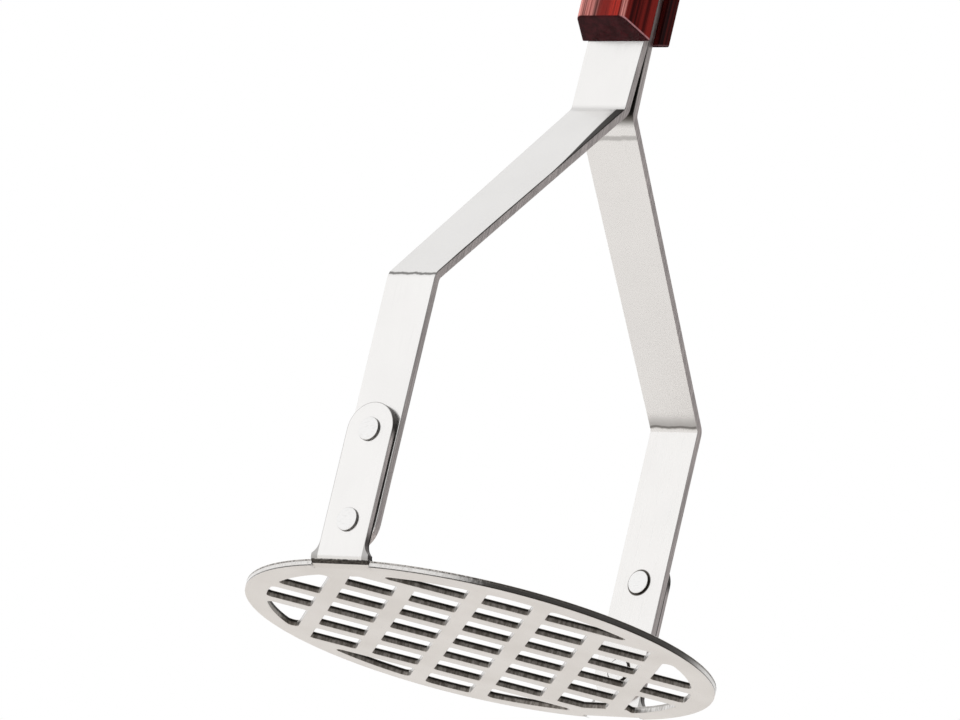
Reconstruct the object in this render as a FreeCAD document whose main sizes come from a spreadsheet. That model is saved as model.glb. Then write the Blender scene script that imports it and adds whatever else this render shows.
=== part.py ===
import FreeCAD, Part
import math
import os
import Sketcher
from FreeCAD import Placement, Rotation, Vector

# A riveted potato masher: a punched round plate with two tabs bent up from its edge, two bent
# strap arms riveted to the tabs, and two wooden scales riveted over the straps' tangs.
# +Z runs up the handle, the straps bend in the XZ plane, and the plate's underside is at Z = 0.

SIZES = {
    # mash plate
    "plate_diameter": 118.0,
    "plate_gauge": 1.8,
    "rim_width": 5.6,           # land between the plate's edge and the punched field
    "hole_side": 11.7,
    "hole_corner": 0.8,
    "hole_pitch": 15.9,
    "field_offset": 1.5,        # the punched field sits this far off the plate's centre
    "tip_round": 1.5,           # corners that the field's round outline cuts
    # tabs
    "tab_stand": 0.4,           # the tab's outer face stands this far past the plate's edge
    "tab_width": 14.0,
    "tab_base_width": 17.6,
    "tab_neck_round": 4.0,
    "tab_bend": 1.2,            # inside radius of the bend
    "rivet_low": 11.7,
    "rivet_high": 34.8,
    # strap arms
    "strap_gauge": 2.0,
    "strap_width": 14.8,
    "tang_width": 17.6,
    "strap_bend": 1.6,          # inside radius of the elbow and the neck
    "elbow_height": 75.6,
    "neck_height": 139.0,
    "neck_gap": 1.5,            # between the two straps where they meet
    "tang_end_round": 4.0,
    # handle
    "handle_height": 157.3,
    "handle_length": 112.0,
    "tang_margin": 3.0,         # the tang ends this far below the handle's top
    "scale_thickness": 8.5,
    "scale_width": 21.0,
    "scale_face": 14.4,         # width of the flat outer face, between the slanting flanks
    "scale_edge": 2.0,          # rounding of the long outer edges
    "end_slope": 3.2,           # the end faces lean back this much over the thickness
    "end_round": 0.5,
    "hang_hole": 6.0,
    "hang_hole_margin": 10.0,
    # tab rivets
    "rivet_shank": 4.0,
    "rivet_head": 6.0,
    "rivet_head_height": 0.6,
    "rivet_head_round": 0.25,
    # handle rivets
    "first_rivet": 17.0,        # from the handle's lower end
    "rivet_spacing": 34.0,
    "cap_diameter": 8.0,
    "cap_depth": 1.5,
    "socket_diameter": 5.0,
    "post_diameter": 3.2,
    "post_play": 1.0,           # left at the end of the post and at the end of the socket
    "clearance": 0.05,          # radial, round every shank and cap
}
ROWS = 5                        # full rows of openings each way, about the field's centre
HANDLE_RIVETS = ("lower", "middle", "upper")
Y, Z = Vector(0, 1, 0), Vector(0, 0, 1)

doc = FreeCAD.newDocument("masher")
sheet = doc.addObject("Spreadsheet::Sheet", "Sizes")
for row, (alias, size) in enumerate(SIZES.items(), start=1):
    sheet.set(f"A{row}", alias)
    sheet.set(f"B{row}", str(size))
    sheet.setAlias(f"B{row}", alias)
doc.recompute()

S = {alias: f"Sizes.{alias}" for alias in SIZES}
FIELD_RADIUS = "Sizes.plate_diameter / 2 - Sizes.rim_width"
TAB_FACE = "Sizes.plate_diameter / 2 + Sizes.tab_stand"
STRAP_FACE = f"{TAB_FACE} - Sizes.plate_gauge"
PAST_EDGE = f"{TAB_FACE} + Sizes.rim_width"
HANDLE_TOP = "Sizes.handle_height + Sizes.handle_length"
TANG_TOP = f"{HANDLE_TOP} - Sizes.tang_margin"
HOLE_HEIGHT = f"{HANDLE_TOP} - Sizes.hang_hole_margin"
HALF_HANDLE = "Sizes.strap_gauge + Sizes.scale_thickness"
FAR = 400.0                     # past every edge of the object

probe = doc.addObject("App::FeaturePython", "Probe")
probe.addProperty("App::PropertyFloat", "number")


def value(expression):
    """The number that an expression on the sheet's cells gives now."""
    probe.setExpression("number", expression)
    probe.recompute()
    return probe.number


def new_body(name):
    body = doc.addObject("PartDesign::Body", name)
    body.Label = name
    return body


def origin_plane(body, role):
    return next(f for f in body.Origin.OriginFeatures if f.Role == role)


def new_sketch(body, name, role, offset=None):
    sketch = body.newObject("Sketcher::SketchObject", name)
    sketch.AttachmentSupport = [(origin_plane(body, role), "")]
    sketch.MapMode = "FlatFace"
    if offset:
        sketch.AttachmentOffset = offset
    return sketch


def bind(sketch, constraint, expression):
    """Adds a dimension that follows an expression."""
    index = sketch.addConstraint(Sketcher.Constraint(*constraint, value(expression)))
    sketch.setExpression(f"Constraints[{index}]", expression)


def pin(sketch, geometry, point, across, up):
    """Places a point of the sketch by its two distances from the sketch's origin."""
    for kind, expression in (("DistanceX", across), ("DistanceY", up)):
        if expression == "0":
            axis = -2 if kind == "DistanceX" else -1
            sketch.addConstraint(Sketcher.Constraint("PointOnObject", geometry, point, axis))
        else:
            bind(sketch, (kind, -1, 1, geometry, point), expression)


def draw_polygon(sketch, corners):
    """A closed outline through corners, each a pair of expressions; returns its lines."""
    points = [Vector(value(across), value(up), 0) for across, up in corners]
    lines = []
    for start, end in zip(points, points[1:] + points[:1]):
        lines.append(sketch.addGeometry(Part.LineSegment(start, end), False))
    for line, following in zip(lines, lines[1:] + lines[:1]):
        sketch.addConstraint(Sketcher.Constraint("Coincident", line, 2, following, 1))
    for line, (across, up) in zip(lines, corners):
        pin(sketch, line, 1, across, up)
    return lines


def draw_line(sketch, start, end):
    return sketch.addGeometry(Part.LineSegment(Vector(*start, 0), Vector(*end, 0)), False)


def draw_arc(sketch, centre, radius, start, end):
    circle = Part.Circle(Vector(*centre, 0), Z, radius)
    return sketch.addGeometry(Part.ArcOfCircle(circle, start, end), False)


def join(sketch, *joints):
    for joint in joints:
        sketch.addConstraint(Sketcher.Constraint(*joint))


def draw_rounded_rectangle(sketch, left, low, right, high, radius):
    """A rectangle between two opposite corners, with all four corners rounded alike."""
    x0, y0, x1, y1, r = [value(e) for e in (left, low, right, high, radius)]
    quarter = math.pi / 2
    sides = [draw_line(sketch, (x0 + r, y0), (x1 - r, y0)),
             draw_line(sketch, (x1, y0 + r), (x1, y1 - r)),
             draw_line(sketch, (x1 - r, y1), (x0 + r, y1)),
             draw_line(sketch, (x0, y1 - r), (x0, y0 + r))]
    centres = [(x1 - r, y0 + r), (x1 - r, y1 - r), (x0 + r, y1 - r), (x0 + r, y0 + r)]
    corners = [draw_arc(sketch, centre, r, (k - 1) * quarter, k * quarter)
               for k, centre in enumerate(centres)]
    for side, corner, following in zip(sides, corners, sides[1:] + sides[:1]):
        join(sketch, ("Tangent", side, 2, corner, 1), ("Tangent", corner, 2, following, 1))
    for corner in corners[1:]:
        join(sketch, ("Equal", corners[0], corner))
    join(sketch, ("Horizontal", sides[0]), ("Horizontal", sides[2]))
    join(sketch, ("Vertical", sides[1]), ("Vertical", sides[3]))
    bind(sketch, ("Radius", corners[0]), radius)
    bind(sketch, ("DistanceY", -1, 1, sides[0], 1), low)
    bind(sketch, ("DistanceX", -1, 1, sides[1], 1), right)
    bind(sketch, ("DistanceY", -1, 1, sides[2], 1), high)
    bind(sketch, ("DistanceX", -1, 1, sides[3], 1), left)


def draw_circle(sketch, across, up, diameter):
    centre = Vector(value(across), value(up), 0)
    circle = sketch.addGeometry(Part.Circle(centre, Z, value(diameter) / 2), False)
    pin(sketch, circle, 3, across, up)
    bind(sketch, ("Diameter", circle), diameter)


def add_pad(body, sketch, length, symmetric=False):
    pad = body.newObject("PartDesign::Pad", f"{sketch.Name}_pad")
    pad.Profile = sketch
    pad.SideType = "Symmetric" if symmetric else "One side"
    pad.setExpression("Length", length)
    doc.recompute()
    return pad


def add_cut(body, sketch, side=0):
    """Cuts the sketch out of the body: both ways from its plane, or only towards side * X."""
    before = body.Shape.Volume
    pocket = body.newObject("PartDesign::Pocket", f"{sketch.Name}_cut")
    pocket.Profile = sketch
    pocket.SideType = "One side" if side else "Symmetric"
    pocket.Reversed = side > 0
    pocket.Length = 2 * FAR
    doc.recompute()
    if not pocket.Shape.Volume < before:
        raise RuntimeError(f"{pocket.Name} cuts nothing")
    return pocket


def add_fillet(body, edges, radius):
    """Rounds the body's edges whose numbers are given."""
    fillet = body.newObject("PartDesign::Fillet", f"{body.Name}_round_{len(body.Group)}")
    fillet.Base = (body.Group[-2], [f"Edge{number}" for number in edges])
    fillet.setExpression("Radius", radius)
    doc.recompute()
    return fillet


def edges_where(body, test):
    """The numbers of the body's edges that pass test(middle, direction)."""
    found = []
    for number, edge in enumerate(body.Shape.Edges, start=1):
        if isinstance(edge.Curve, Part.Line):
            first, last = edge.Vertexes[0].Point, edge.Vertexes[-1].Point
            if test((first + last) * 0.5, (last - first).normalize()):
                found.append(number)
    return found


def along(direction, axis):
    return abs(direction.dot(axis)) > 0.999


# ---- mash plate -------------------------------------------------------------------------------

def field_frame():
    """The punched field's rows run at 45 degrees to the straps, about a centre off the plate's."""
    offset = value(S["field_offset"]) / math.sqrt(2)
    return Placement(Vector(offset, offset, 0), Rotation(Z, -45))


def punch(body, name, left, low, right, high):
    """One opening, from two opposite corners in the field's own frame."""
    sketch = new_sketch(body, name, "XY_Plane", field_frame())
    for axis in ("x", "y"):
        sketch.setExpression(f"AttachmentOffset.Base.{axis}", "Sizes.field_offset / sqrt(2)")
    draw_rounded_rectangle(sketch, left, low, right, high, S["hole_corner"])
    return sketch, add_cut(body, sketch)


def linear_pattern(sketch, axis):
    pattern = doc.addObject("PartDesign::LinearPattern", f"{sketch.Name}_{axis[0]}_row")
    pattern.Direction = (sketch, [axis])
    pattern.Occurrences = ROWS
    pattern.Mode = "Spacing"
    pattern.setExpression("Offset", S["hole_pitch"])
    return pattern


def repeat(body, sketch, pocket, patterns):
    """Repeats an opening by the patterns, one after the other."""
    multi = body.newObject("PartDesign::MultiTransform", f"{sketch.Name}_field")
    multi.Originals = [pocket]
    for pattern in patterns:
        body.addObject(pattern)
    multi.Transformations = patterns
    body.Tip = multi
    doc.recompute()
    return multi


def quarter_turns(sketch):
    turns = doc.addObject("PartDesign::PolarPattern", f"{sketch.Name}_turns")
    turns.Axis = (sketch, ["N_Axis"])
    turns.Angle = 360
    turns.Occurrences = 4
    return turns


def mirror_about(sketch, axis):
    mirror = doc.addObject("PartDesign::Mirrored", f"{sketch.Name}_mirror")
    mirror.MirrorPlane = (sketch, [axis])
    return mirror


def refill_rim(body):
    """The rim is whole: it closes what the openings took outside the field's round outline."""
    sketch = new_sketch(body, "rim", "XY_Plane")
    draw_circle(sketch, "0", "0", S["plate_diameter"])
    draw_circle(sketch, "Sizes.field_offset / sqrt(2)", "Sizes.field_offset / sqrt(2)",
                f"2 * ({FIELD_RADIUS})")
    add_pad(body, sketch, S["plate_gauge"])


def round_tips(body):
    """Rounds the sharp corners where the field's round outline cuts the openings."""
    centre = field_frame().Base
    radius = value(FIELD_RADIUS)

    def tip(middle, direction):
        flat = Vector(middle.x, middle.y, 0) - centre
        return along(direction, Z) and abs(flat.Length - radius) < 0.01

    tips = edges_where(body, tip)
    if tips:                    # a wide plate's field leaves every opening whole
        add_fillet(body, tips, S["tip_round"])


def add_tabs(body):
    """Each tab is a tongue of the sheet bent up at the edge, with a round top and a flared neck."""
    gauge, bend, base = S["plate_gauge"], S["tab_bend"], "Sizes.tab_base_width / 2"
    crease, rise = f"{TAB_FACE} - {gauge} - {bend}", f"({gauge} + {bend})"
    x, z, thick, fold = [value(e) for e in (crease, rise, gauge, bend)]
    root = x - value(S["rim_width"])

    relief = new_sketch(body, "tab_relief", "XY_Plane")
    for sign in ("", "-"):
        draw_polygon(relief, [(f"{sign}({crease})", f"-{base}"), (f"{sign}({PAST_EDGE})", f"-{base}"),
                              (f"{sign}({PAST_EDGE})", base), (f"{sign}({crease})", base)])
    add_cut(body, relief)

    side = new_sketch(body, "tab_bend_side", "XZ_Plane")
    outer = draw_arc(side, (x, z), z, -math.pi / 2, 0)
    lip = draw_line(side, (x + z, z), (x + fold, z))
    inner = draw_arc(side, (x, z), fold, -math.pi / 2, 0)
    top = draw_line(side, (x, thick), (root, thick))
    back = draw_line(side, (root, thick), (root, 0))
    sole = draw_line(side, (root, 0), (x, 0))
    join(side, ("Coincident", outer, 2, lip, 1), ("Coincident", lip, 2, inner, 2),
         ("Coincident", inner, 1, top, 1), ("Coincident", top, 2, back, 1),
         ("Coincident", back, 2, sole, 1), ("Coincident", sole, 2, outer, 1),
         ("Coincident", outer, 3, inner, 3), ("Horizontal", lip), ("Horizontal", top),
         ("Vertical", back), ("Vertical", outer, 3, outer, 1))
    pin(side, outer, 3, crease, rise)
    bind(side, ("Radius", outer), rise)
    bind(side, ("Radius", inner), bend)
    pin(side, sole, 1, f"{crease} - Sizes.rim_width", "0")
    turn = add_pad(body, side, S["tab_base_width"], symmetric=True)

    face = new_sketch(body, "tab_face", "YZ_Plane")
    face.setExpression("AttachmentOffset.Base.z", f"{TAB_FACE} - {gauge}")
    draw_tab_outline(face, rise)
    blade = add_pad(body, face, gauge)

    mirror = body.newObject("PartDesign::Mirrored", "tab_pair")
    mirror.Originals = [turn, blade]
    mirror.MirrorPlane = (origin_plane(body, "YZ_Plane"), [""])
    body.Tip = mirror
    doc.recompute()


def draw_tab_outline(sketch, foot):
    """A round top concentric with the upper rivet, straight sides, and a neck that flares."""
    half, base, neck = "Sizes.tab_width / 2", "Sizes.tab_base_width / 2", S["tab_neck_round"]
    rise = f"sqrt({neck} ^ 2 - ({neck} - ({base} - {half})) ^ 2)"
    y, b, g, r, n, up = [value(e) for e in (half, base, foot, S["rivet_high"], neck, rise)]
    flare = math.acos((n - (b - y)) / n)

    side = draw_line(sketch, (y, g + up), (y, r))
    crown = draw_arc(sketch, (0, r), y, 0, math.pi)
    other_side = draw_line(sketch, (-y, r), (-y, g + up))
    flare_left = draw_arc(sketch, (-y - n, g + up), n, -flare, 0)
    sole = draw_line(sketch, (-b, g), (b, g))
    flare_right = draw_arc(sketch, (y + n, g + up), n, math.pi, math.pi + flare)
    join(sketch, ("Tangent", side, 2, crown, 1), ("Tangent", crown, 2, other_side, 1),
         ("Tangent", side, 1, flare_right, 1), ("Tangent", other_side, 2, flare_left, 2),
         ("Coincident", flare_left, 1, sole, 1), ("Coincident", sole, 2, flare_right, 2),
         ("Vertical", side))
    pin(sketch, crown, 3, "0", S["rivet_high"])
    bind(sketch, ("Radius", crown), half)
    bind(sketch, ("Radius", flare_right), neck)
    bind(sketch, ("Radius", flare_left), neck)
    pin(sketch, sole, 1, f"-{base}", foot)
    pin(sketch, sole, 2, base, foot)


def drill(body, name, plane, holes):
    """Round holes right through: each is (across, up, diameter) in the plane."""
    sketch = new_sketch(body, name, plane)
    for across, up, diameter in holes:
        draw_circle(sketch, across, up, diameter)
    return add_cut(body, sketch)


RIVET_HOLE = "Sizes.rivet_shank + 2 * Sizes.clearance"
TAB_HOLES = [("0", S["rivet_low"], RIVET_HOLE), ("0", S["rivet_high"], RIVET_HOLE)]


def make_plate():
    body = new_body("mash_plate")
    disc = new_sketch(body, "disc", "XY_Plane")
    draw_circle(disc, "0", "0", S["plate_diameter"])
    add_pad(body, disc, S["plate_gauge"])

    half, pitch = "Sizes.hole_side / 2", "Sizes.hole_pitch"
    first, past = -(ROWS // 2), ROWS // 2 + 1
    near, far = f"{first} * {pitch} - {half}", f"{first} * {pitch} + {half}"
    sketch, pocket = punch(body, "inner_hole", near, near, far, far)
    repeat(body, sketch, pocket, [linear_pattern(sketch, "H_Axis"), linear_pattern(sketch, "V_Axis")])
    low, high = f"{past} * {pitch} - {half}", f"{past} * {pitch} + {half}"
    sketch, pocket = punch(body, "outer_hole", f"-{half}", low, half, high)
    repeat(body, sketch, pocket, [quarter_turns(sketch)])
    right = f"{ROWS // 2} * {pitch} + {half}"
    sketch, pocket = punch(body, "edge_hole", f"{pitch} - {half}", low, right, high)
    repeat(body, sketch, pocket, [mirror_about(sketch, "V_Axis"), quarter_turns(sketch)])
    refill_rim(body)
    round_tips(body)
    add_tabs(body)
    drill(body, "tab_hole", "YZ_Plane", TAB_HOLES)
    return body


# ---- strap arms -------------------------------------------------------------------------------

def make_strap(name, side):
    """One arm; side is -1 for the left arm and 1 for the right arm, its mirror image."""
    body = new_body(name)
    sign = "-" if side < 0 else ""
    gauge, half_gap = S["strap_gauge"], "Sizes.neck_gap / 2"
    foot = "Sizes.rivet_low - Sizes.strap_width / 2"
    outer = [(STRAP_FACE, foot), (STRAP_FACE, S["elbow_height"]),
             (f"{half_gap} + {gauge}", S["neck_height"]), (gauge, S["handle_height"]),
             (gauge, TANG_TOP)]
    sketch = new_sketch(body, f"{name}_side", "XZ_Plane")
    draw_ribbon(sketch, side, sign, outer, gauge)
    add_pad(body, sketch, f"2 * {S['tang_width']}", symmetric=True)
    trim_strap(body, name)
    drill(body, f"{name}_holes", "YZ_Plane", TAB_HOLES + HANDLE_HOLES)
    round_bends(body, side)
    return body


def draw_ribbon(sketch, side, sign, outer, gauge):
    """A strip of even thickness along the outer line; its inner line runs parallel to it."""
    points = [Vector(side * value(across), value(up), 0) for across, up in outer]
    thick = value(gauge)
    runs = [(end - start).normalize() for start, end in zip(points, points[1:])]
    inward = [Vector(run.y, -run.x, 0) * -side for run in runs]
    inner = [points[0] + inward[0] * thick]
    for corner, before, after in zip(points[1:-1], inward, inward[1:]):
        inner.append(corner + (before + after) * (thick / (1 + before.dot(after))))
    inner.append(points[-1] + inward[-1] * thick)

    def chain(corners):
        lines = [sketch.addGeometry(Part.LineSegment(start, end), False)
                 for start, end in zip(corners, corners[1:])]
        for line, following in zip(lines, lines[1:]):
            join(sketch, ("Coincident", line, 2, following, 1))
        return lines

    outside, inside = chain(points), chain(inner)
    foot = sketch.addGeometry(Part.LineSegment(inner[0], points[0]), False)
    head = sketch.addGeometry(Part.LineSegment(points[-1], inner[-1]), False)
    join(sketch, ("Coincident", foot, 2, outside[0], 1), ("Coincident", foot, 1, inside[0], 1),
         ("Coincident", head, 1, outside[-1], 2), ("Coincident", head, 2, inside[-1], 2),
         ("Horizontal", foot), ("Horizontal", head))
    for line, (across, up) in zip(outside, outer):
        pin(sketch, line, 1, f"{sign}({across})", up)
    across, up = outer[-1]
    pin(sketch, outside[-1], 2, f"{sign}({across})", up)
    for line, parallel in zip(outside, inside):
        join(sketch, ("Parallel", line, parallel))
        bind(sketch, ("Distance", parallel, 1, line), gauge)


def trim_strap(body, name):
    """Cuts the strip to its front outline: a round foot, even sides, and a wider tang."""
    half, wide, outside = "Sizes.strap_width / 2", "Sizes.tang_width / 2", "2 * Sizes.tang_width"
    low, elbow, mouth = S["rivet_low"], S["elbow_height"], S["handle_height"]
    corner = S["tang_end_round"]
    y, w, z0, z1, z2, top, r = [value(e) for e in (half, wide, low, elbow, mouth, TANG_TOP,
                                                   corner)]
    sketch = new_sketch(body, f"{name}_front", "YZ_Plane")
    foot = draw_arc(sketch, (0, z0), y, math.pi, 2 * math.pi)
    leg = draw_line(sketch, (y, z0), (y, z1))
    slope = draw_line(sketch, (y, z1), (w, z2))
    tang = draw_line(sketch, (w, z2), (w, top - r))
    shoulder = draw_arc(sketch, (w - r, top - r), r, 0, math.pi / 2)
    end = draw_line(sketch, (w - r, top), (r - w, top))
    other_shoulder = draw_arc(sketch, (r - w, top - r), r, math.pi / 2, math.pi)
    other_tang = draw_line(sketch, (-w, top - r), (-w, z2))
    other_slope = draw_line(sketch, (-w, z2), (-y, z1))
    other_leg = draw_line(sketch, (-y, z1), (-y, z0))
    join(sketch, ("Tangent", foot, 2, leg, 1), ("Coincident", leg, 2, slope, 1),
         ("Coincident", slope, 2, tang, 1), ("Tangent", tang, 2, shoulder, 1),
         ("Tangent", shoulder, 2, end, 1), ("Tangent", end, 2, other_shoulder, 1),
         ("Tangent", other_shoulder, 2, other_tang, 1),
         ("Coincident", other_tang, 2, other_slope, 1),
         ("Coincident", other_slope, 2, other_leg, 1), ("Tangent", other_leg, 2, foot, 1),
         ("Vertical", leg), ("Vertical", tang), ("Horizontal", end))
    pin(sketch, foot, 3, "0", low)
    bind(sketch, ("Radius", foot), half)
    bind(sketch, ("DistanceY", -1, 1, leg, 2), elbow)
    pin(sketch, slope, 2, wide, mouth)
    pin(sketch, other_slope, 2, f"-{half}", elbow)
    pin(sketch, other_slope, 1, f"-{wide}", mouth)
    bind(sketch, ("Radius", shoulder), corner)
    bind(sketch, ("Radius", other_shoulder), corner)
    bind(sketch, ("DistanceY", -1, 1, end, 1), TANG_TOP)
    below, above = f"{low} - {outside}", f"{TANG_TOP} + {outside}"
    draw_polygon(sketch, [(f"-{outside}", below), (outside, below),
                          (outside, above), (f"-{outside}", above)])
    add_cut(body, sketch)


def round_bends(body, side):
    """Gives the elbow and the neck their inside radius, and the outside that follows it."""
    gauge = value(S["strap_gauge"])
    elbow = Vector(value(STRAP_FACE), 0, value(S["elbow_height"]))
    neck = Vector(value("Sizes.neck_gap / 2") + gauge, 0, value(S["neck_height"]))
    near = 2 * gauge            # reaches the bend's inside edge from its outside edge

    def bend(place, outside):
        def test(middle, direction):
            offset = Vector(side * middle.x, 0, middle.z) - place
            on_line = offset.Length < 0.01
            return along(direction, Y) and offset.Length < near and on_line == outside
        return test

    wide = "Sizes.strap_bend + Sizes.strap_gauge"
    for place, outside, radius in ((elbow, True, wide), (elbow, False, S["strap_bend"]),
                                   (neck, True, S["strap_bend"]), (neck, False, wide)):
        add_fillet(body, edges_where(body, bend(place, outside)), radius)


# ---- handle -----------------------------------------------------------------------------------

SOCKET_HOLE = "Sizes.socket_diameter + 2 * Sizes.clearance"
RIVET_HEIGHTS = [f"Sizes.handle_height + Sizes.first_rivet + {k} * Sizes.rivet_spacing"
                 for k in range(len(HANDLE_RIVETS))]
HANDLE_HOLES = [("0", height, SOCKET_HOLE) for height in RIVET_HEIGHTS]
HANDLE_HOLES.append(("0", HOLE_HEIGHT, S["hang_hole"]))


def make_scale(name, side):
    """One wooden scale, flat against its tang, with slanting flanks and leaning ends."""
    body = new_body(name)
    sign = "-" if side < 0 else ""
    inner, outer = S["strap_gauge"], HALF_HANDLE
    low, high, lean = S["handle_height"], HANDLE_TOP, S["end_slope"]
    sketch = new_sketch(body, f"{name}_side", "XZ_Plane")
    draw_polygon(sketch, [(f"{sign}({inner})", low), (f"{sign}({outer})", f"{low} + {lean}"),
                          (f"{sign}({outer})", f"{high} - {lean}"), (f"{sign}({inner})", high)])
    add_pad(body, sketch, S["scale_width"], symmetric=True)
    cut_flanks(body, name, sign)
    face = value(outer)

    def long_edge(middle, direction):
        return along(direction, Z) and abs(side * middle.x - face) < 0.01

    add_fillet(body, edges_where(body, long_edge), S["scale_edge"])
    drill(body, f"{name}_holes", "YZ_Plane", HANDLE_HOLES)
    seat = new_sketch(body, f"{name}_seats", "YZ_Plane")
    depth = f"{outer} - Sizes.cap_depth"
    seat.setExpression("AttachmentOffset.Base.z", f"{sign}({depth})")
    for height in RIVET_HEIGHTS:
        draw_circle(seat, "0", height, "Sizes.cap_diameter + 2 * Sizes.clearance")
    add_cut(body, seat, side)
    round_ends(body)
    return body


def cut_flanks(body, name, sign):
    """Slants both flanks, from the full width at the tang to the flat outer face's width."""
    wide, face = "Sizes.scale_width / 2", "Sizes.scale_face"
    inner, past = S["strap_gauge"], f"{S['strap_gauge']} + 2 * Sizes.scale_thickness"
    sketch = new_sketch(body, f"{name}_flanks", "XY_Plane")
    for flank in ("", "-"):
        draw_polygon(sketch, [(f"{sign}({inner})", f"{flank}({wide})"),
                              (f"{sign}({past})", f"{flank}({face} - {wide})"),
                              (f"{sign}({past})", f"{flank}(2 * {wide})"),
                              (f"{sign}({inner})", f"{flank}(2 * {wide})")])
    add_cut(body, sketch)


def round_ends(body):
    """Softens the rim of both end faces, except along the tang."""
    low, high = value(S["handle_height"]), value(HANDLE_TOP)
    lean, inner = value(S["end_slope"]), value(S["strap_gauge"])
    edges = set()
    for face in body.Shape.Faces:
        box = face.BoundBox
        is_end = box.ZMax < low + lean + 0.01 or box.ZMin > high - lean - 0.01
        if is_end:
            edges.update(edge.hashCode() for edge in face.Edges
                         if max(abs(v.Point.x) for v in edge.Vertexes) > inner + 0.01)
    chosen = [number for number, edge in enumerate(body.Shape.Edges, start=1)
              if edge.hashCode() in edges]
    add_fillet(body, chosen, S["end_round"])


# ---- rivets -----------------------------------------------------------------------------------

def revolve(name, profile, along_x, height):
    """A turned piece: the profile's (along, out) pairs spun about a level axis along X."""
    body = new_body(name)
    sketch = new_sketch(body, f"{name}_profile", "XY_Plane")
    draw_polygon(sketch, profile)
    turn = body.newObject("PartDesign::Revolution", f"{name}_turn")
    turn.Profile = sketch
    turn.ReferenceAxis = (sketch, ["H_Axis"])
    turn.Angle = 360
    doc.recompute()
    body.setExpression("Placement.Base.x", along_x)
    body.setExpression("Placement.Base.z", height)
    doc.recompute()
    return body


def make_tab_rivet(name, side, height):
    """A solid rivet through the tab and the strap, with a low head on each face."""
    radius, head = "Sizes.rivet_shank / 2", "Sizes.rivet_head / 2"
    tall, ease = S["rivet_head_height"], S["rivet_head_round"]
    grip = "(Sizes.plate_gauge + Sizes.strap_gauge)"
    profile = [(f"-{tall}", "0"), (f"-{tall}", f"{head} - {ease}"), (f"-{tall} + {ease}", head),
               ("0", head), ("0", radius), (grip, radius), (grip, head),
               (f"{grip} + {tall} - {ease}", head), (f"{grip} + {tall}", f"{head} - {ease}"),
               (f"{grip} + {tall}", "0")]
    start = f"-({TAB_FACE})" if side < 0 else f"{TAB_FACE} - {grip}"
    return revolve(name, profile, start, height)


def make_handle_rivet(name, height):
    """A two-part rivet: a post with a cap on the left, and a socket with a cap on the right."""
    cap, depth = "Sizes.cap_diameter / 2", S["cap_depth"]
    post, tube = "Sizes.post_diameter / 2", "Sizes.socket_diameter / 2"
    bore, play = "Sizes.post_diameter / 2 + Sizes.clearance", S["post_play"]
    reach = f"(2 * ({HALF_HANDLE}) - {depth})"
    post_profile = [("0", "0"), ("0", cap), (depth, cap), (depth, post),
                    (f"{reach} - 2 * {play}", post), (f"{reach} - 2 * {play}", "0")]
    socket_profile = [(f"{depth} + {play}", bore), (f"{depth} + {play}", tube), (reach, tube),
                      (reach, cap), (f"2 * ({HALF_HANDLE})", cap), (f"2 * ({HALF_HANDLE})", "0"),
                      (f"{reach} - {play}", "0"), (f"{reach} - {play}", bore)]
    start = f"-({HALF_HANDLE})"
    return [revolve(f"{name}_post", post_profile, start, height),
            revolve(f"{name}_socket", socket_profile, start, height)]


# ---- the whole masher -------------------------------------------------------------------------

parts = [make_plate()]
for side, word in ((-1, "left"), (1, "right")):
    parts.append(make_strap(f"{word}_strap", side))
    parts.append(make_scale(f"{word}_handle_scale", side))
    parts.append(make_tab_rivet(f"{word}_lower_tab_rivet", side, S["rivet_low"]))
    parts.append(make_tab_rivet(f"{word}_upper_tab_rivet", side, S["rivet_high"]))
for word, height in zip(HANDLE_RIVETS, RIVET_HEIGHTS):
    parts += make_handle_rivet(f"{word}_handle_rivet", height)

doc.removeObject(probe.Name)
doc.recompute()
failed = [o.Name for o in doc.Objects if "Invalid" in o.State or "Error" in o.State]
if failed:
    raise RuntimeError(f"features that failed: {failed}")
for body in parts:
    shape = body.Shape
    if shape.isNull() or not shape.isValid() or len(shape.Solids) != 1:
        raise RuntimeError(f"{body.Label} is not one valid solid")

os.makedirs("parts", exist_ok=True)
for body in parts:
    body.Shape.exportStep(f"parts/{body.Label}.step")
    box = body.Shape.BoundBox
    print(f"{body.Label}: {body.Shape.Volume:.1f} mm3, x {box.XMin:.2f} to {box.XMax:.2f}, "
          f"y {box.YMin:.2f} to {box.YMax:.2f}, z {box.ZMin:.2f} to {box.ZMax:.2f}")
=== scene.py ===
import math

import bmesh
import bpy
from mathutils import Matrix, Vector


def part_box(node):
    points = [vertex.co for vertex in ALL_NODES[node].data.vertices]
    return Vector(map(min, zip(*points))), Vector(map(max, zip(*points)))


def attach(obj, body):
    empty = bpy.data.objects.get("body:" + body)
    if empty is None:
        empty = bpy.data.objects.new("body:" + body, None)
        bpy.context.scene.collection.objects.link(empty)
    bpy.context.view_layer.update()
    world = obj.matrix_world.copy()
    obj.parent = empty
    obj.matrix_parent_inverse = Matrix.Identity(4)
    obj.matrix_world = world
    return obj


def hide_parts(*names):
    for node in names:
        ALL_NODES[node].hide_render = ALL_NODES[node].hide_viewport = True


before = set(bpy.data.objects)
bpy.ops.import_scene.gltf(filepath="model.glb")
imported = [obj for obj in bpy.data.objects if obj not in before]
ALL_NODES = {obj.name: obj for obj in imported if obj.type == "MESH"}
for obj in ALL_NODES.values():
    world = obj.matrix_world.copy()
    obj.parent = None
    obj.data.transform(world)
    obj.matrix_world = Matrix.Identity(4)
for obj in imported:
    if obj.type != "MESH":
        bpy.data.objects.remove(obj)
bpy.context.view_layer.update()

# The looks of a riveted potato masher: a punched steel plate, two bent strap arms, a lacquered
# rosewood handle, and the rivets that hold them. Everything is in metres, and each piece lies
# where its CAD node lies. Many of the finishes' dark and pale places are painted shade,
# painted highlights and painted reflections, fixed on the object.

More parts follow.
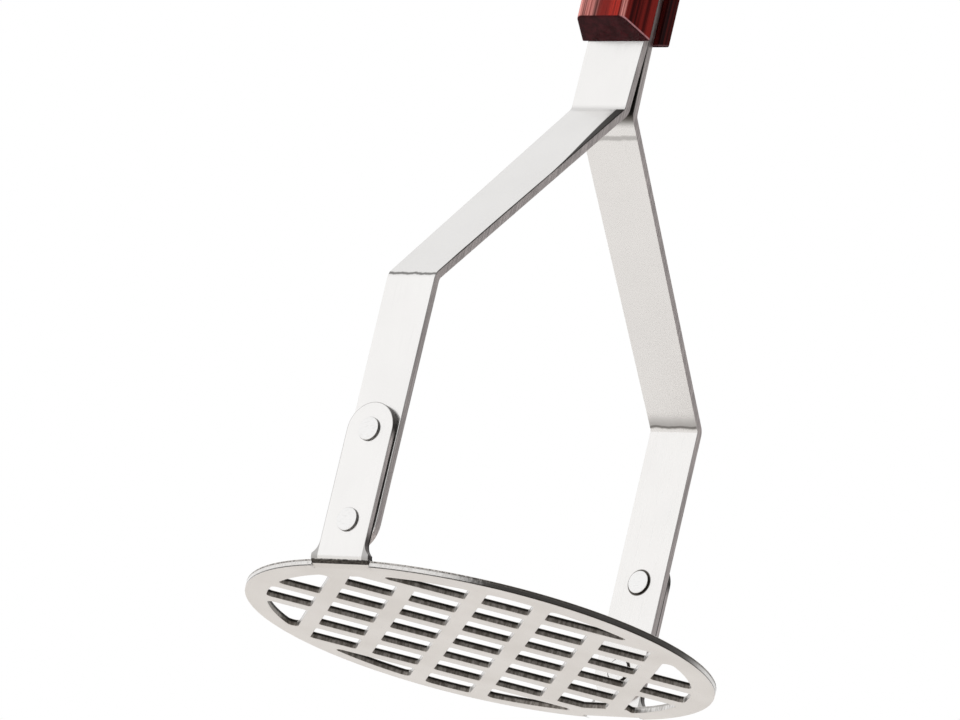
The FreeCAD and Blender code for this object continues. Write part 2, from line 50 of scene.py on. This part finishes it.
MM = 0.001
TAB_CROWN_HEIGHT, TAB_HALF = 34.8 * MM, 7.0 * MM
ELBOW_HEIGHT, NECK_HEIGHT, TANG_HEIGHT = 75.6 * MM, 139.0 * MM, 157.3 * MM
TAB_INSIDE = 57.6 * MM
TAB_RIVET_HEIGHTS = (11.7 * MM, 34.8 * MM)
# The last of these is the radius at which painted shade circles the tab rivets' heads on the
# straps' inner faces.
RIVET_SHANK, RIVET_HEAD_TALL, PAINTED_RING_RADIUS = 2.0 * MM, 0.6 * MM, 3.15 * MM
STRAP_GAUGE, STRAP_HALF, TANG_HALF = 2.0 * MM, 7.4 * MM, 8.8 * MM
HANDLE_LOW, HANDLE_HIGH = TANG_HEIGHT, 269.3 * MM
SCALE_CORNER, SCALE_END_SLOPE = 6.9 * MM, 3.2 / 8.5
FLOOR_RADIUS, FLOOR_HEIGHT = 40.0, -3.0
OVERHEAD_STRENGTH, OVERHEAD_SPREAD = 0.64, 60
# Where a reflection's direction turns from one brightness to the other, and the two of them.
TENT_SIDE = ((-0.62, -0.15), (0.26, 1.04))
TENT_TOP = ((0.3, 0.75), (1.0, 0.86))
CAMERA_PLACE = (-1.916694, -1.574617, -0.585411)
CAMERA_TURN = (105.1901, -12.8632, -53.6884)
SENSOR_WIDTH, CAMERA_LENS = 36.0, 390.414


# ---- shader helpers -----------------------------------------------------------------------------

class Number:
    """A number that varies over a surface. Sums written with it become Math nodes."""

    def __init__(self, finish, socket):
        self.finish, self.socket = finish, socket

    def _math(self, operation, *values):
        return self.finish.node("ShaderNodeMath", {"operation": operation}, dict(enumerate(values)))

    def __add__(self, other):
        return self._math("ADD", self, other)

    def __sub__(self, other):
        return self._math("SUBTRACT", self, other)

    def __rsub__(self, other):
        return self._math("SUBTRACT", other, self)

    def __mul__(self, other):
        return self._math("MULTIPLY", self, other)

    def __truediv__(self, other):
        return self._math("DIVIDE", self, other)

    def __abs__(self):
        return self._math("ABSOLUTE", self)

    __radd__, __rmul__ = __add__, __mul__

    def larger(self, other):
        return self._math("MAXIMUM", self, other)

    def root(self):
        return self._math("SQRT", self)

    def ramp(self, low, high, start=0.0, end=1.0):
        """Goes smoothly from start to end while this number goes from low to high."""
        return self.finish.node("ShaderNodeMapRange", {"interpolation_type": "SMOOTHSTEP"},
                                {"Value": self, "From Min": low, "From Max": high,
                                 "To Min": start, "To Max": end})


class Finish:
    """A material in the making: a Principled surface on Object coordinates."""

    def __init__(self, name, **constants):
        self.material = bpy.data.materials.new(name)
        self.material.use_nodes = True
        self.tree = self.material.node_tree
        self.shader = self.tree.nodes["Principled BSDF"]
        for socket, number in constants.items():
            self.shader.inputs[socket.replace("_", " ")].default_value = number
        self.place = self.node("ShaderNodeTexCoord", output="Object")
        self.x, self.y, self.z = (
            self.node("ShaderNodeSeparateXYZ", {}, {0: self.place}, output=axis) for axis in "XYZ")

    def node(self, kind, settings=None, inputs=None, output=0):
        """Adds a node: first its settings, then the values or links of its sockets."""
        made = self.tree.nodes.new(kind)
        for name, setting in (settings or {}).items():
            setattr(made, name, setting)
        for socket, given in (inputs or {}).items():
            if isinstance(given, Number):
                self.tree.links.new(given.socket, made.inputs[socket])
            else:
                made.inputs[socket].default_value = given
        return Number(self, made.outputs[output])

    def noise(self, scale, stretch=(1, 1, 1), detail=3.0, rough=0.55, shift=(0, 0, 0)):
        """Noise from 0 to 1; stretch squeezes the pattern along an axis by that much."""
        spot = self.node("ShaderNodeMapping", {},
                         {"Vector": self.place, "Scale": stretch, "Location": shift})
        return self.node("ShaderNodeTexNoise", {},
                         {"Vector": spot, "Scale": scale, "Detail": detail, "Roughness": rough})

    def blend(self, share, first, second):
        """A colour that goes from first to second with share."""
        return self.node("ShaderNodeMix", {"data_type": "RGBA"},
                         {0: share, 6: first, 7: second}, output=2)

    def surface(self, **links):
        for socket, given in links.items():
            self.tree.links.new(given.socket, self.shader.inputs[socket.replace("_", " ")])
        return self.material

    def bump(self, height, depth, after=None):
        """A bump that is depth metres deep where height goes from 0 to 1."""
        inputs = {"Height": height, "Distance": depth, "Strength": 1.0}
        if after:
            inputs["Normal"] = after
        return self.node("ShaderNodeBump", {}, inputs)


def grey(level, warmth=0.0):
    """A light colour with a little more red and less blue as warmth rises."""
    return (level * (1 + warmth), level, level * (1 - warmth), 1.0)


def dusky(level):
    """A grey that leans to brown."""
    return (level * 1.06, level * 0.97, level * 0.95, 1.0)


# ---- finishes -----------------------------------------------------------------------------------

def rolled_steel(made, level, warmth, rough, painted_shade, shade_colour):
    """Cold-rolled stainless strip with faint rolling lines, darkened by painted shade: the last two
    arguments give its share and colour.
    """
    lines = made.noise(2600, (1, 1, 0.03), detail=2.0)
    clouds = made.noise(55, detail=2.0)
    shade = made.blend(clouds.ramp(0.35, 0.7), grey(level, warmth), grey(level * 0.975, warmth))
    shade = made.blend(lines.ramp(0.5, 0.8) * 0.15, shade, grey(level * 0.88, warmth))
    shade = made.blend(painted_shade, shade, shade_colour)
    roughness = lines.ramp(0.3, 0.8, rough, rough + 0.05) + painted_shade * 0.2
    return made.surface(Base_Color=shade, Roughness=roughness, Normal=made.bump(lines, 0.0000012))


def tab_steel():
    """The tabs' broad faces, with a thin dark line of painted shade along the rolled-over outline.
    """
    made = Finish("tab_face_steel", Metallic=1.0)
    above = (made.z - TAB_CROWN_HEIGHT).larger(0.0)
    reach = (made.y * made.y + above * above).root()
    # Painted shade: a thin dark line just within the tab's outline, where it lies on the strap.
    painted_seam_shade = reach.ramp(TAB_HALF - 0.28 * MM, TAB_HALF - 0.1 * MM) * 0.6
    return rolled_steel(made, 0.87, 0.014, 0.2, painted_seam_shade, grey(0.2, 0.04))


def outer_strap_steel():
    """A strap's outer face with painted dark reflections: a thin line over the elbow, a faint band
    at the neck, and on the left strap a dark roll along an edge.
    """
    made = Finish("strap_outer_steel", Metallic=1.0)
    wander = made.noise(420, (0.2, 1, 0.2), detail=3.0) - 0.5
    # Painted dark reflection: a thin wandering line across the elbow's bend.
    painted_shade = abs(made.z - ELBOW_HEIGHT + wander * (1.0 * MM)).ramp(0.15 * MM, 0.55 * MM, 0.75, 0.0)
    # Painted dark reflection along the left strap's edge between elbow and neck, widening towards
    # the neck, standing for what its rolled edge mirrors.
    edge = made.y + made.z.ramp(ELBOW_HEIGHT, TANG_HEIGHT, STRAP_HALF, TANG_HALF)
    roll = made.z.ramp(NECK_HEIGHT - 26 * MM, NECK_HEIGHT, 0.2 * MM, 2.8 * MM)
    rolled = (edge - roll + wander * (0.2 * MM)).ramp(-0.15 * MM, 0.1 * MM, 1.0, 0.0)
    span = made.z.ramp(ELBOW_HEIGHT - 1 * MM, ELBOW_HEIGHT + 1 * MM)
    span = span * made.z.ramp(NECK_HEIGHT - 0.4 * MM, NECK_HEIGHT + 0.2 * MM, 1.0, 0.0)
    # Painted shade: a faint dark band at the neck's bend.
    neck = abs(made.z - NECK_HEIGHT).ramp(0.1 * MM, 1.4 * MM, 0.14, 0.0)
    rolled = rolled * span * made.x.ramp(-1.0 * MM, 0.0, 1.0, 0.0)
    painted_shade = painted_shade.larger(rolled).larger(neck)
    return rolled_steel(made, 0.87, 0.014, 0.2, painted_shade, grey(0.035, 0.1))


def inner_strap_steel():
    """A strap's inner face, with painted shade in the elbow's bend, under the neck and round the
    rivet heads.
    """
    made = Finish("strap_inner_steel", Metallic=1.0)
    wander = made.noise(300, (0.3, 1, 0.3), detail=3.0) - 0.5
    # Painted shade in the elbow's inner bend: a dark line at the bend, fading upwards from it.
    rise = made.z - ELBOW_HEIGHT + wander * (0.7 * MM)
    painted_crease_shade = rise.ramp(-0.5 * MM, 0.0) * rise.ramp(0.0, 3.4 * MM, 0.5, 0.0)
    painted_crease_shade = painted_crease_shade.larger(abs(rise - 0.1 * MM).ramp(0.1 * MM, 0.5 * MM, 0.8, 0.0))
    # Painted shade: a dark line 5 mm under the neck, and darkening towards the neck from 3 mm below
    # it.
    painted_dip_shade = abs(made.z - NECK_HEIGHT + 5.0 * MM + wander * (0.8 * MM))
    painted_dip_shade = painted_dip_shade.ramp(0.2 * MM, 0.7 * MM, 0.4, 0.0)
    painted_fork_shade = made.z.ramp(NECK_HEIGHT - 3.2 * MM, NECK_HEIGHT - 1.0 * MM, 0.0, 0.9)
    painted_shade = painted_crease_shade.larger(painted_dip_shade).larger(painted_fork_shade)
    # Painted shade: dark circles round the heads of the tab rivets.
    for height in TAB_RIVET_HEIGHTS:
        rise = made.z - height
        painted_ring_shade = abs((made.y * made.y + rise * rise).root() - PAINTED_RING_RADIUS)
        painted_shade = painted_shade.larger(painted_ring_shade.ramp(0.2 * MM, 0.42 * MM, 1.0, 0.0))
    return rolled_steel(made, 0.87, 0.017, 0.24, painted_shade, grey(0.09, 0.12))


def sheared_edge(name, level, tab_shade=False):
    """A blanked edge: dull, brown-grey, lined along the cut; the last argument adds painted shade
    to a tab's edge in places.
    """
    made = Finish(name, Metallic=1.0)
    lines = made.noise(3800, (1, 1, 0.02), detail=3.0, rough=0.7)
    patches = made.noise(240, (1, 1, 0.4), detail=3.0)
    shade = made.blend(lines.ramp(0.35, 0.68), dusky(level * 0.7), dusky(level * 1.15))
    shade = made.blend(patches.ramp(0.52, 0.72) * 0.4, shade, dusky(level * 0.65))
    if tab_shade:
        # Painted shade on a tab's edge: along its inner side next to the strap, at its round top
        # and near its foot.
        painted_gap_shade = abs(made.x).ramp(TAB_INSIDE + 0.45 * MM, TAB_INSIDE + 0.75 * MM, 1.0, 0.0)
        painted_crown_shade = made.z.ramp(TAB_CROWN_HEIGHT - 3 * MM, TAB_CROWN_HEIGHT + 1 * MM, 0.0, 0.95)
        neck = made.z.ramp(6.0 * MM, 11.0 * MM, 0.85, 0.0)
        shade = made.blend(painted_gap_shade.larger(painted_crown_shade).larger(neck), shade, grey(0.03, 0.1))
    roughness = patches.ramp(0.3, 0.75, 0.34, 0.5)
    relief = made.bump(lines, 0.000012)
    return made.surface(Base_Color=shade, Roughness=roughness, Normal=relief)


def satin_sheet():
    """The mash plate's faces: warm satin steel with a fine tooth and faint clouds."""
    made = Finish("satin_sheet", Metallic=1.0)
    tooth = made.noise(5200, detail=2.0)
    clouds = made.noise(38, detail=3.0)
    specks = made.noise(1500, detail=1.0, shift=(3, 1, 7))
    shade = made.blend(clouds.ramp(0.3, 0.72), grey(0.79, 0.044), grey(0.72, 0.052))
    shade = made.blend(tooth.ramp(0.42, 0.72) * 0.35, shade, grey(0.55, 0.04))
    shade = made.blend(specks.ramp(0.68, 0.78) * 0.5, shade, grey(0.45, 0.05))
    roughness = tooth.ramp(0.3, 0.7, 0.3, 0.37) + clouds.ramp(0.3, 0.7, -0.02, 0.03)
    relief = made.bump(tooth, 0.000003)
    return made.surface(Base_Color=shade, Roughness=roughness, Normal=relief)


def punched_wall(gauge):
    """An opening's wall: sheared and streaked at the punch side, torn beyond it; its dark tones,
    near black where torn, are partly painted shade within the opening.
    """
    made = Finish("punched_wall", Metallic=0.85)
    streaks = made.noise(900, (1, 1, 0.3), detail=4.0, rough=0.7)
    grain = made.noise(1300, detail=4.0, rough=0.7)
    depth = made.z / gauge + (grain - 0.5) * 0.35
    torn = depth.ramp(0.45, 0.75)
    shade = made.blend(streaks.ramp(0.35, 0.7), grey(0.12, 0.14), grey(0.34, 0.08))
    shade = made.blend(torn, shade, grey(0.015, 0.2))
    roughness = torn * 0.2 + 0.42
    relief = made.bump(streaks * 0.5 + grain, 0.00009)
    return made.surface(Base_Color=shade, Roughness=roughness, Normal=relief)


def painted_lit_wall(gauge):
    """An opening's end wall that faces -X and +Y: streaked, torn at the upper face, and made pale
    by painted light.
    """
    made = Finish("painted_lit_wall", Metallic=0.9)
    streaks = made.noise(900, (1, 1, 0.3), detail=4.0, rough=0.7)
    torn = (made.z / gauge + (streaks - 0.5) * 0.5).ramp(0.6, 0.85, 0.0, 0.5)
    shade = made.blend(streaks.ramp(0.35, 0.6), grey(0.45, 0.05), grey(0.85, 0.02))
    shade = made.blend(torn, shade, grey(0.1, 0.15))
    return made.surface(Base_Color=shade, Roughness=streaks.ramp(0.3, 0.7, 0.3, 0.45),
                        Normal=made.bump(streaks, 0.00003))


def blanked_rim(gauge):
    """The plate's rim: a burnished band and a speckled torn band above it, both darkened at -Y by a
    painted dark reflection.
    """
    made = Finish("blanked_rim", Metallic=1.0)
    grain = made.noise(1700, (1, 1, 0.6), detail=4.0, rough=0.72)
    sweep = made.noise(30, (1, 1, 0), detail=1.0, shift=(9, 4, 0))
    depth = made.z / gauge + (grain - 0.5) * 0.22
    foot = depth.ramp(0.16, 0.26, 1.0, 0.0)
    torn = depth.ramp(0.62, 0.8)
    burnished = made.blend(grain.ramp(0.4, 0.7), grey(0.78, 0.02), grey(0.6, 0.03))
    rough_metal = made.blend(grain.ramp(0.38, 0.62), grey(0.1, 0.1), grey(0.62, 0.04))
    shade = made.blend(torn, burnished, rough_metal)
    shade = made.blend(foot * 0.9, shade, grey(0.04, 0.1))
    # Painted dark reflection on the rim at -Y, weaker towards +X.
    painted_dark_side = made.y + (grain - 0.5) * (14 * MM)
    painted_dark_side = painted_dark_side.ramp(-37 * MM, -30 * MM, 0.86, 0.0) * made.x.ramp(4 * MM, 20 * MM, 1.0, 0.2)
    shade = made.blend(painted_dark_side, shade, grey(0.06, 0.12))
    roughness = torn * 0.2 + sweep.ramp(0.35, 0.65, 0.26, 0.36)
    relief = made.bump(grain * torn, 0.00007)
    return made.surface(Base_Color=shade, Roughness=roughness, Normal=relief)


def strained_bend():
    """The outside of the tabs' tight bend, torn dark and grainy by the folding."""
    made = Finish("strained_bend", Metallic=0.9)
    grain = made.noise(1500, (1, 1, 1.6), detail=4.0, rough=0.7)
    height = made.z + (grain - 0.5) * (0.7 * MM)
    torn = height.ramp(0.15 * MM, 0.5 * MM) * height.ramp(1.5 * MM, 1.9 * MM, 1.0, 0.0)
    dark = made.blend(grain.ramp(0.35, 0.7), grey(0.025, 0.15), grey(0.12, 0.12))
    shade = made.blend(torn, grey(0.8, 0.02), dark)
    roughness = torn * 0.25 + 0.3
    relief = made.bump(grain * torn, 0.00008)
    return made.surface(Base_Color=shade, Roughness=roughness, Normal=relief)


def peened_rivet():
    """A polished rivet head with the faint dents of the hammer."""
    made = Finish("peened_rivet", Metallic=1.0)
    dents = made.noise(700, detail=1.5)
    scuffs = made.noise(3000, (1, 0.3, 1), detail=2.0)
    shade = made.blend(scuffs.ramp(0.5, 0.75) * 0.4, grey(0.86, 0.008), grey(0.66, 0.02))
    roughness = scuffs.ramp(0.3, 0.8, 0.17, 0.27)
    relief = made.bump(scuffs, 0.000002, after=made.bump(dents, 0.00005))
    return made.surface(Base_Color=shade, Roughness=roughness, Normal=relief)


def rivet_rim():
    """The turned-in side of a tab rivet's head, dark with painted shade."""
    made = Finish("rivet_rim_steel", Metallic=1.0)
    lines = made.noise(1500, (4, 1, 1), detail=2.0)
    shade = made.blend(lines.ramp(0.35, 0.7), grey(0.07, 0.05), grey(0.2, 0.03))
    return made.surface(Base_Color=shade, Roughness=lines.ramp(0.3, 0.7, 0.3, 0.42),
                        Normal=made.bump(lines, 0.00001))


def flush_rivet():
    """A handle rivet's cap, ground flush with the wood by a fine belt."""
    made = Finish("flush_rivet", Metallic=1.0)
    belt = made.noise(3200, (1, 0.04, 1), detail=3.0)
    tarnish = made.noise(300, detail=2.0)
    shade = made.blend(belt.ramp(0.35, 0.7), grey(0.74, 0.03), grey(0.58, 0.05))
    shade = made.blend(tarnish.ramp(0.55, 0.75) * 0.4, shade, grey(0.42, 0.12))
    roughness = belt.ramp(0.3, 0.7, 0.26, 0.38)
    relief = made.bump(belt, 0.000003)
    return made.surface(Base_Color=shade, Roughness=roughness, Normal=relief)


def rosewood():
    """Dark red rosewood under lacquer with dull ends, painted highlights, and a right scale
    darkened by painted shade.
    """
    made = Finish("rosewood", Coat_Roughness=0.08, Coat_IOR=1.4, Specular_IOR_Level=0.0)
    sway = made.noise(60, (1, 1, 0.1), detail=2.0) - 0.5
    across = made.y + sway * (3.0 * MM)
    streaks = made.noise(1500, (1, 1, 0.02), detail=4.0, rough=0.65)
    bands = made.noise(420, (1, 1, 0.03), detail=3.0, shift=(6, 2, 4))
    pores = made.noise(3600, (1, 1, 0.035), detail=2.0, shift=(2, 5, 1))
    face = abs(made.x).ramp(9.9 * MM, 10.3 * MM)
    shade = made.blend(bands.ramp(0.36, 0.62), (0.035, 0.0045, 0.005, 1), (0.24, 0.021, 0.017, 1))
    # Painted highlight: a bright red band along each outer face, 4.4 mm to -Y of the middle.
    painted_red_highlight = abs(across + 4.4 * MM).ramp(0.8 * MM, 2.2 * MM, 0.9, 0.0) * streaks.ramp(0.3, 0.55)
    shade = made.blend(painted_red_highlight * face, shade, (0.5, 0.035, 0.024, 1))
    # Painted highlight: a pale pink over the +Y half of the outer faces.
    painted_sheen = across.ramp(-0.5 * MM, 3.5 * MM) * face * streaks.ramp(0.36, 0.6, 0.2, 1.0)
    shade = made.blend(painted_sheen * 0.9, shade, (0.78, 0.3, 0.27, 1))
    # Painted highlight: pale lines along the rounded edges of the outer faces.
    painted_corner_highlight = abs(abs(made.y) - SCALE_CORNER).ramp(0.3 * MM, 1.0 * MM, 1.0, 0.0)
    painted_corner_highlight = painted_corner_highlight * abs(made.x).ramp(9.6 * MM, 10.2 * MM) * streaks.ramp(0.35, 0.6, 0.2, 1.0)
    shade = made.blend(painted_corner_highlight * 0.95, shade, (0.95, 0.4, 0.36, 1))
    shade = made.blend(pores.ramp(0.6, 0.74) * 0.6, shade, (0.012, 0.003, 0.003, 1))
    middle, half = (HANDLE_LOW + HANDLE_HIGH) / 2, (HANDLE_HIGH - HANDLE_LOW) / 2
    depth = (abs(made.x) - STRAP_GAUGE) * SCALE_END_SLOPE + abs(made.z - middle) - half
    end = depth.ramp(-0.55 * MM, -0.25 * MM)
    dull = made.blend(bands.ramp(0.35, 0.7), (0.03, 0.005, 0.0065, 1), (0.055, 0.008, 0.011, 1))
    shade = made.blend(end, shade, dull)
    # Painted highlight: a pale line along the ends' edges where they meet the sides.
    painted_lip_highlight = abs(depth + 0.4 * MM).ramp(0.08 * MM, 0.3 * MM, 1.0, 0.0)
    painted_lip_highlight = painted_lip_highlight * abs(made.y).ramp(6.0 * MM, 7.6 * MM) * streaks.ramp(0.3, 0.5, 0.5, 0.9)
    shade = made.blend(painted_lip_highlight, shade, (0.62, 0.3, 0.32, 1))
    # Painted shade: the right scale, at +X, is made much darker than the left; below, its lacquer
    # coat is also thinner.
    shade = made.blend(made.x.ramp(0.0, 2.0 * MM, 0.0, 0.75), shade, (0.004, 0.002, 0.0025, 1))
    roughness = streaks.ramp(0.3, 0.7, 0.38, 0.5)
    coat = made.x.ramp(0.0, 2.0 * MM, 0.2, 0.02)
    return made.surface(Base_Color=shade, Roughness=roughness, Coat_Weight=coat,
                        Normal=made.bump(pores, 0.00001))


# ---- geometry helpers ---------------------------------------------------------------------------

def merged_copy(node):
    """A CAD node's mesh with its corners joined and its flat faces made whole."""
    mesh = bmesh.new()
    mesh.from_mesh(ALL_NODES[node].data)
    bmesh.ops.remove_doubles(mesh, verts=mesh.verts, dist=0.002 * MM)
    bmesh.ops.dissolve_limit(mesh, angle_limit=math.radians(0.3), verts=mesh.verts,
                             edges=mesh.edges)
    mesh.normal_update()
    return mesh


def sharp_edges(mesh, test=None, angle=38):
    return [edge for edge in mesh.edges
            if len(edge.link_faces) == 2 and edge.calc_face_angle() > math.radians(angle)
            and (test is None or test(edge))]


def round_over(mesh, edges, radius, segments):
    bmesh.ops.bevel(mesh, geom=edges, offset=radius, offset_type="OFFSET", affect="EDGES",
                    segments=segments, profile=0.5, material=-1)
    mesh.normal_update()


def finished_piece(name, mesh, finishes, choose, slot, *nodes):
    """Turns a bmesh into a piece that stands for its CAD nodes; choose gives a face's finish."""
    for face in mesh.faces:
        face.smooth = True
        face.material_index = choose(face)
    data = bpy.data.meshes.new(name)
    mesh.to_mesh(data)
    mesh.free()
    for finish in finishes:
        data.materials.append(finish)
    piece = bpy.data.objects.new(name, data)
    bpy.context.scene.collection.objects.link(piece)
    even = piece.modifiers.new("even_shading", "WEIGHTED_NORMAL")
    even.weight = 50
    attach(piece, "root")
    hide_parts(*nodes)
    return piece


# ---- mash plate ---------------------------------------------------------------------------------

PLATE_LOW, PLATE_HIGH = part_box("mash_plate")
GAUGE = 1.8 * MM
RIM_RADIUS = PLATE_HIGH.y
FIELD_LIMIT = RIM_RADIUS - 3.5 * MM
# End walls that face this way are painted light: they get the pale finish.
PAINTED_LIT_SIDE = Vector((-1, 1, 0)).normalized()
SHEET, WALL, RIM, TAB_FACE, TAB_SIDE, BEND, PAINTED_LIT_WALL = range(7)


def make_plate():
    mesh = merged_copy("mash_plate")

    def flat_radius(element):
        middle = sum((v.co for v in element.verts), Vector()) / len(element.verts)
        return Vector((middle.x, middle.y)).length, middle.z

    def punch_side(edge):
        radius, height = flat_radius(edge)
        return height < 0.1 * MM and radius < FIELD_LIMIT

    round_over(mesh, sharp_edges(mesh, punch_side), 0.16 * MM, 2)
    round_over(mesh, sharp_edges(mesh), 0.12 * MM, 2)

    def choose(face):
        radius, height = flat_radius(face)
        across, along, _ = (abs(part) for part in face.calc_center_median())
        level, upright = abs(face.normal.z) > 0.8, abs(face.normal.z) < 0.35
        if height > GAUGE * 1.05 and across > FIELD_LIMIT:
            return TAB_FACE if abs(face.normal.x) > 0.8 else TAB_SIDE
        if across > RIM_RADIUS - 2.5 * MM and along < 9.0 * MM and not level:
            return BEND
        if upright and radius < FIELD_LIMIT:
            return PAINTED_LIT_WALL if face.normal.dot(PAINTED_LIT_SIDE) > 0.75 else WALL
        return RIM if upright else SHEET

    finishes = [satin_sheet(), punched_wall(GAUGE), blanked_rim(GAUGE), STRIP, TAB_EDGE,
                strained_bend(), painted_lit_wall(GAUGE)]
    return finished_piece("punched_plate", mesh, finishes, choose, "plate_steel", "mash_plate")


# ---- strap arms ---------------------------------------------------------------------------------

def make_arm(side, word):
    mesh = merged_copy(f"{word}_strap")

    def outline(outward):
        def test(edge):
            tilts = sorted(abs(face.normal.x) for face in edge.link_faces)
            facing = sum(face.normal.x * side for face in edge.link_faces)
            return tilts[0] < 0.2 < tilts[1] and (facing > 0) == outward
        return test

    round_over(mesh, sharp_edges(mesh, outline(True)), 0.28 * MM, 3)
    round_over(mesh, sharp_edges(mesh, outline(False)), 0.1 * MM, 2)

    def choose(face):
        if abs(face.normal.x) < 0.3:
            return 2
        return 0 if face.normal.x * side > 0 else 1

    return finished_piece(f"{word}_arm", mesh, [OUTER_STRIP, INNER_STRIP, EDGE], choose,
                          "strap_steel", f"{word}_strap")


# ---- handle -------------------------------------------------------------------------------------

def make_scale(word):
    mesh = merged_copy(f"{word}_handle_scale")
    round_over(mesh, sharp_edges(mesh, angle=50), 0.15 * MM, 2)
    return finished_piece(f"{word}_wood_scale", mesh, [WOOD], lambda face: 0, "handle_wood",
                          f"{word}_handle_scale")


def make_cap(node):
    mesh = merged_copy(node)
    round_over(mesh, sharp_edges(mesh), 0.12 * MM, 2)
    return finished_piece(f"{node}_steel", mesh, [FLUSH], lambda face: 0, "handle_rivet_metal",
                          node)


# ---- tab rivets ---------------------------------------------------------------------------------

def make_tab_rivet(word, level):
    """A rivet turned from its half profile, its two heads softly rounded at the rim."""
    node = f"{word}_{level}_tab_rivet"
    low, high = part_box(node)
    centre = (low + high) / 2
    head, shank, tall = (high.z - low.z) / 2, RIVET_SHANK, RIVET_HEAD_TALL
    profile = [(low.x, 0), (low.x, head), (low.x + tall, head), (low.x + tall, shank),
               (high.x - tall, shank), (high.x - tall, head), (high.x, head), (high.x, 0)]
    mesh = bmesh.new()
    points = [mesh.verts.new((along, 0, out)) for along, out in profile]
    chain = [mesh.edges.new(pair) for pair in zip(points, points[1:])]
    bmesh.ops.spin(mesh, geom=points + chain, cent=(0, 0, 0), axis=(1, 0, 0), dvec=(0, 0, 0),
                   angle=math.tau, steps=64, use_merge=True)
    bmesh.ops.remove_doubles(mesh, verts=mesh.verts, dist=0.001 * MM)
    bmesh.ops.translate(mesh, verts=mesh.verts, vec=(0, centre.y, centre.z))
    bmesh.ops.recalc_face_normals(mesh, faces=mesh.faces)
    mesh.normal_update()

    def rim(edge):
        return all(abs(v.co.x - low.x) < tall / 10 or abs(v.co.x - high.x) < tall / 10
                   for v in edge.verts)

    round_over(mesh, sharp_edges(mesh, rim), 0.22 * MM, 4)

    def choose(face):
        return 1 if abs(face.normal.x) < 0.75 else 0

    return finished_piece(f"{word}_{level}_peened_rivet", mesh, [PEENED, RIVET_RIM], choose,
                          "rivet_steel", node)


STRIP, OUTER_STRIP, INNER_STRIP = tab_steel(), outer_strap_steel(), inner_strap_steel()
EDGE = sheared_edge("sheared_edge_steel", 0.72)
TAB_EDGE = sheared_edge("tab_edge_steel", 0.84, tab_shade=True)
WOOD = rosewood()
PEENED, RIVET_RIM = peened_rivet(), rivet_rim()
FLUSH = flush_rivet()

make_plate()
for side, word in ((-1, "left"), (1, "right")):
    make_arm(side, word)
    make_scale(word)
    for level in ("lower", "upper"):
        make_tab_rivet(word, level)
for level in ("lower", "middle", "upper"):
    make_cap(f"{level}_handle_rivet_post")
    make_cap(f"{level}_handle_rivet_socket")


# ---- studio -------------------------------------------------------------------------------------

def make_floor():
    """A wide pale floor, well below, so that the view from under the plate is clear."""
    mesh = bmesh.new()
    bmesh.ops.create_circle(mesh, cap_ends=True, segments=64, radius=FLOOR_RADIUS)
    bmesh.ops.translate(mesh, verts=mesh.verts, vec=(0, 0, FLOOR_HEIGHT))
    data = bpy.data.meshes.new("floor")
    mesh.to_mesh(data)
    mesh.free()
    paint = Finish("floor_paint", Roughness=0.9)
    tone = paint.noise(0.8, detail=2.0)
    tone = paint.blend(tone, grey(0.86, 0.02), grey(0.9, 0.02))
    data.materials.append(paint.surface(Base_Color=tone))
    floor = bpy.data.objects.new("floor", data)
    bpy.context.scene.collection.objects.link(floor)


def make_world():
    """White all round to the eye; reflections see a tent that is darker at -Y and overhead."""
    world = bpy.data.worlds.new("studio")
    bpy.context.scene.world = world
    world.use_nodes = True
    tree = world.node_tree
    tree.nodes.clear()

    def add(kind, **settings):
        made = tree.nodes.new(kind)
        for name, setting in settings.items():
            setattr(made, name, setting)
        return made

    def turning(name, span, levels):
        made = add("ShaderNodeMapRange", interpolation_type="SMOOTHSTEP")
        for socket, number in zip(("From Min", "From Max", "To Min", "To Max"), span + levels):
            made.inputs[socket].default_value = number
        tree.links.new(split.outputs[name], made.inputs["Value"])
        return made

    place, split = add("ShaderNodeTexCoord"), add("ShaderNodeSeparateXYZ")
    side, top = turning("Y", *TENT_SIDE), turning("Z", *TENT_TOP)
    both = add("ShaderNodeMath", operation="MULTIPLY")
    eye = add("ShaderNodeLightPath")
    mix = add("ShaderNodeMix", data_type="FLOAT")
    mix.inputs[3].default_value = 1.0
    light, out = add("ShaderNodeBackground"), add("ShaderNodeOutputWorld")
    light.inputs["Color"].default_value = (1.0, 1.0, 1.0, 1.0)
    for source, target in ((place.outputs["Generated"], split.inputs[0]),
                           (eye.outputs["Is Camera Ray"], mix.inputs[0]),
                           (side.outputs["Result"], both.inputs[0]),
                           (top.outputs["Result"], both.inputs[1]),
                           (both.outputs[0], mix.inputs[2]),
                           (mix.outputs[0], light.inputs["Strength"]),
                           (light.outputs[0], out.inputs["Surface"])):
        tree.links.new(source, target)


def make_overhead():
    """A very soft light from above for the floor and the wood; polished steel doesn't mirror it."""
    data = bpy.data.lights.new("overhead", "SUN")
    data.energy, data.angle = OVERHEAD_STRENGTH, math.radians(OVERHEAD_SPREAD)
    lamp = bpy.data.objects.new("overhead", data)
    lamp.visible_glossy = False
    bpy.context.scene.collection.objects.link(lamp)


def make_camera():
    data = bpy.data.cameras.new("camera")
    data.sensor_width, data.lens = SENSOR_WIDTH, CAMERA_LENS
    data.clip_start, data.clip_end = 0.05, 100.0
    camera = bpy.data.objects.new("camera", data)
    camera.location = CAMERA_PLACE
    camera.rotation_euler = [math.radians(angle) for angle in CAMERA_TURN]
    bpy.context.scene.collection.objects.link(camera)
    bpy.context.scene.camera = camera


make_floor()
make_world()
make_overhead()
make_camera()
bpy.context.scene.view_settings.view_transform = "Standard"
